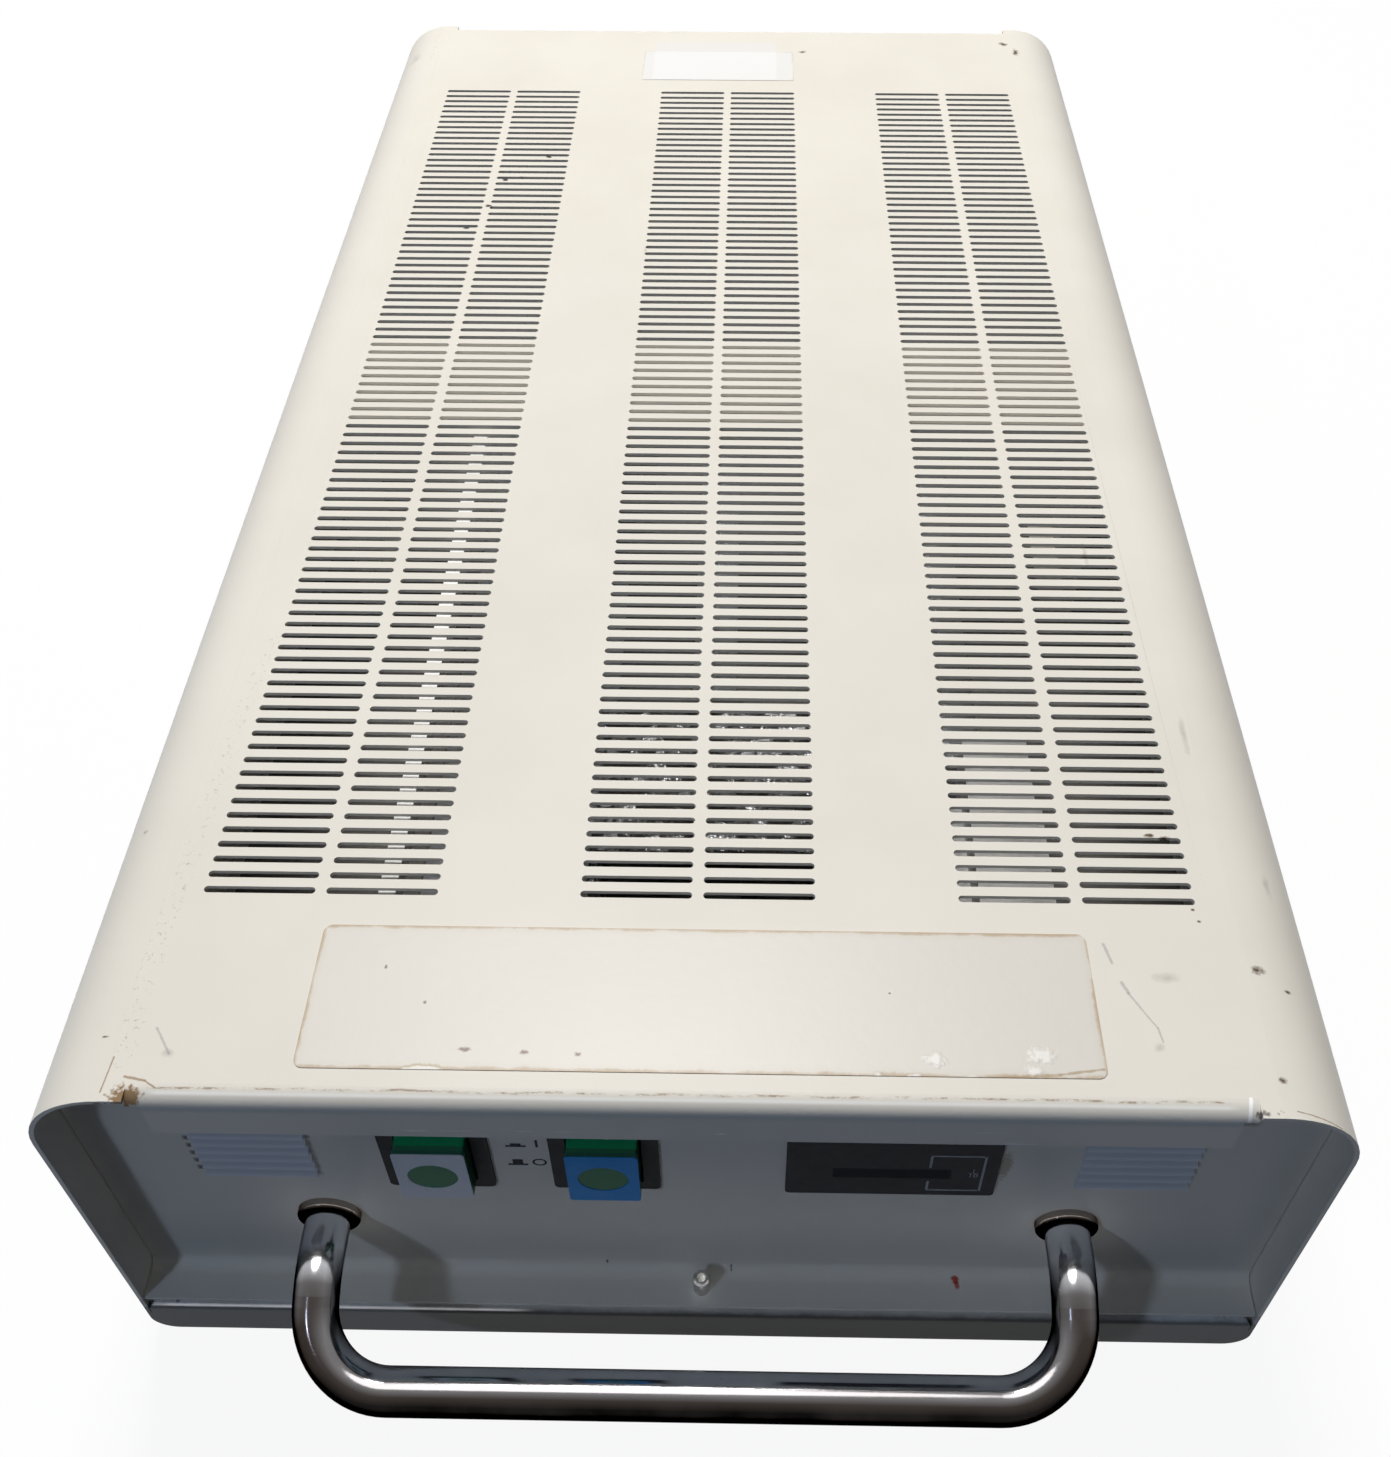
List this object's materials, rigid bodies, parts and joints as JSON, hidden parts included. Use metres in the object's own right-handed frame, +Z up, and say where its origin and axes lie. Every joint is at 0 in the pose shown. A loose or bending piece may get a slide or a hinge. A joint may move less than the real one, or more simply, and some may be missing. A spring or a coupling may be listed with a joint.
{
  "type": "phototherapy lamp head",
  "caption": "Flat enamelled steel lamp head with fluorescent lamps, a slotted cover, push-button switches, an hour meter and a chrome handle.",
  "frame": {"origin": "on the surface it stands on, in the middle of the whole footprint, handle included", "axes": "+X across, to the right seen from the handle, +Y from the handle to the back, +Z up"},
  "size_m": [0.4044, 0.7482, 0.1733],
  "materials": {
    "cover_paint": "smooth cream enamel",
    "base_paint": "smooth cream enamel",
    "panel_paint": null,
    "zinc_sheet": "galvanised",
    "reflector_sheet": "bright",
    "foil_sheet": "crinkled",
    "white_holder": "gloss",
    "clear_pane": "clear",
    "screw_steel": "zinc plated",
    "plated_stud": "worn plating",
    "ballast_case": "black varnish",
    "lead_sleeve": "woven sleeve",
    "black_rubber": "matte",
    "white_duct": "matte",
    "cream_block": "matte",
    "handle_chrome": "polished",
    "black_plastic": "satin",
    "green_lens": "gloss",
    "white_key": "gloss",
    "blue_key": "gloss",
    "meter_glass": "clear",
    "brass_blade": "bright",
    "label_film": "worn paper film",
    "tag_paper": "paper",
    "white_lamp": "phosphor coated",
    "hour_drum": "matte",
    "blue_lamp": "phosphor coated",
    "tenth_drum": "matte"
  },
  "bodies": {
    "lamp_head": {"top_cover": "cover_paint", "base_pan": "base_paint", "front_panel": "panel_paint", "rear_panel": "panel_paint", "side_rails": "zinc_sheet", "centre_bridge": "base_paint", "reflector": "reflector_sheet", "front_holder_rail": "zinc_sheet", "rear_holder_rail": "zinc_sheet", "front_lamp_holders": "white_holder", "rear_lamp_holders": "white_holder", "diffuser_pane": "clear_pane", "pane_retainers": "zinc_sheet", "retainer_screws": "screw_steel", "ballasts": "ballast_case", "ballast_screws": "screw_steel", "ballast_leads": "lead_sleeve", "grommets": "black_rubber", "wire_duct": "white_duct", "heat_shield": "foil_sheet", "terminal_block": "cream_block", "terminal_screws": "screw_steel", "handle_bar": "handle_chrome", "handle_collars": "handle_chrome", "handle_studs": "screw_steel", "handle_nuts": "screw_steel", "white_switch_housing": "black_plastic", "blue_switch_housing": "black_plastic", "white_switch_spring": "screw_steel", "blue_switch_spring": "screw_steel", "switch_terminals": "brass_blade", "meter_case": "black_plastic", "meter_window": "meter_glass", "meter_shaft": "screw_steel", "mains_inlet": "black_plastic", "inlet_pins": "brass_blade", "inlet_screws": "screw_steel", "side_screws": "screw_steel", "ledge_stud": "plated_stud", "front_label": "label_film", "rear_tag": "tag_paper"},
    "tube_1": {"lamp_1": "white_lamp"},
    "tube_2": {"lamp_2": "blue_lamp"},
    "tube_3": {"lamp_3": "blue_lamp"},
    "tube_4": {"lamp_4": "blue_lamp"},
    "tube_5": {"lamp_5": "blue_lamp"},
    "tube_6": {"lamp_6": "white_lamp"},
    "white_button": {"white_button_cap": "green_lens", "white_button_face": "white_key"},
    "blue_button": {"blue_button_cap": "green_lens", "blue_button_face": "blue_key"},
    "drum_6": {"meter_drum_6": "tenth_drum"},
    "drum_5": {"meter_drum_5": "hour_drum"},
    "drum_4": {"meter_drum_4": "hour_drum"},
    "drum_3": {"meter_drum_3": "hour_drum"},
    "drum_2": {"meter_drum_2": "hour_drum"},
    "drum_1": {"meter_drum_1": "hour_drum"}
  },
  "joints": [
    {"name": "tube_1_twist", "type": "hinge", "parent": "lamp_head", "child": "tube_1", "pos_m": [-0.135, 0.02258, 0.0335], "axis": [0, 1, 0], "range_deg": [0, 90]},
    {"name": "tube_2_twist", "type": "hinge", "parent": "lamp_head", "child": "tube_2", "pos_m": [-0.081, 0.02258, 0.0335], "axis": [0, 1, 0], "range_deg": [0, 90]},
    {"name": "tube_3_twist", "type": "hinge", "parent": "lamp_head", "child": "tube_3", "pos_m": [-0.027, 0.02258, 0.0335], "axis": [0, 1, 0], "range_deg": [0, 90]},
    {"name": "tube_4_twist", "type": "hinge", "parent": "lamp_head", "child": "tube_4", "pos_m": [0.027, 0.02258, 0.0335], "axis": [0, 1, 0], "range_deg": [0, 90]},
    {"name": "tube_5_twist", "type": "hinge", "parent": "lamp_head", "child": "tube_5", "pos_m": [0.081, 0.02258, 0.0335], "axis": [0, 1, 0], "range_deg": [0, 90]},
    {"name": "tube_6_twist", "type": "hinge", "parent": "lamp_head", "child": "tube_6", "pos_m": [0.135, 0.02258, 0.0335], "axis": [0, 1, 0], "range_deg": [0, 90]},
    {"name": "white_button_push", "type": "slide", "parent": "lamp_head", "child": "white_button", "axis": [0, 1, 0], "range_m": [0, 0.0035], "stiffness_N_per_m": 600, "springref_m": -0.002, "deforming": ["white_switch_spring"]},
    {"name": "blue_button_push", "type": "slide", "parent": "lamp_head", "child": "blue_button", "axis": [0, 1, 0], "range_m": [0, 0.0035], "stiffness_N_per_m": 600, "springref_m": -0.002, "deforming": ["blue_switch_spring"]},
    {"name": "drum_6_spin", "type": "hinge", "parent": "lamp_head", "child": "drum_6", "pos_m": [0.0796, -0.30812, 0.1053], "axis": [1, 0, 0], "continuous": true},
    {"name": "drum_5_spin", "type": "hinge", "parent": "lamp_head", "child": "drum_5", "pos_m": [0.0734, -0.30812, 0.1053], "axis": [1, 0, 0], "continuous": true},
    {"name": "drum_4_spin", "type": "hinge", "parent": "lamp_head", "child": "drum_4", "pos_m": [0.0672, -0.30812, 0.1053], "axis": [1, 0, 0], "continuous": true},
    {"name": "drum_3_spin", "type": "hinge", "parent": "lamp_head", "child": "drum_3", "pos_m": [0.061, -0.30812, 0.1053], "axis": [1, 0, 0], "continuous": true},
    {"name": "drum_2_spin", "type": "hinge", "parent": "lamp_head", "child": "drum_2", "pos_m": [0.0548, -0.30812, 0.1053], "axis": [1, 0, 0], "continuous": true},
    {"name": "drum_1_spin", "type": "hinge", "parent": "lamp_head", "child": "drum_1", "pos_m": [0.0486, -0.30812, 0.1053], "axis": [1, 0, 0], "continuous": true}
  ],
  "couplings": [
    {"joint": "drum_5_spin", "follows": "drum_6_spin", "ratio": 0.1},
    {"joint": "drum_4_spin", "follows": "drum_6_spin", "ratio": 0.01},
    {"joint": "drum_3_spin", "follows": "drum_6_spin", "ratio": 0.001},
    {"joint": "drum_2_spin", "follows": "drum_6_spin", "ratio": 0.0001},
    {"joint": "drum_1_spin", "follows": "drum_6_spin", "ratio": 0.00001}
  ]
}
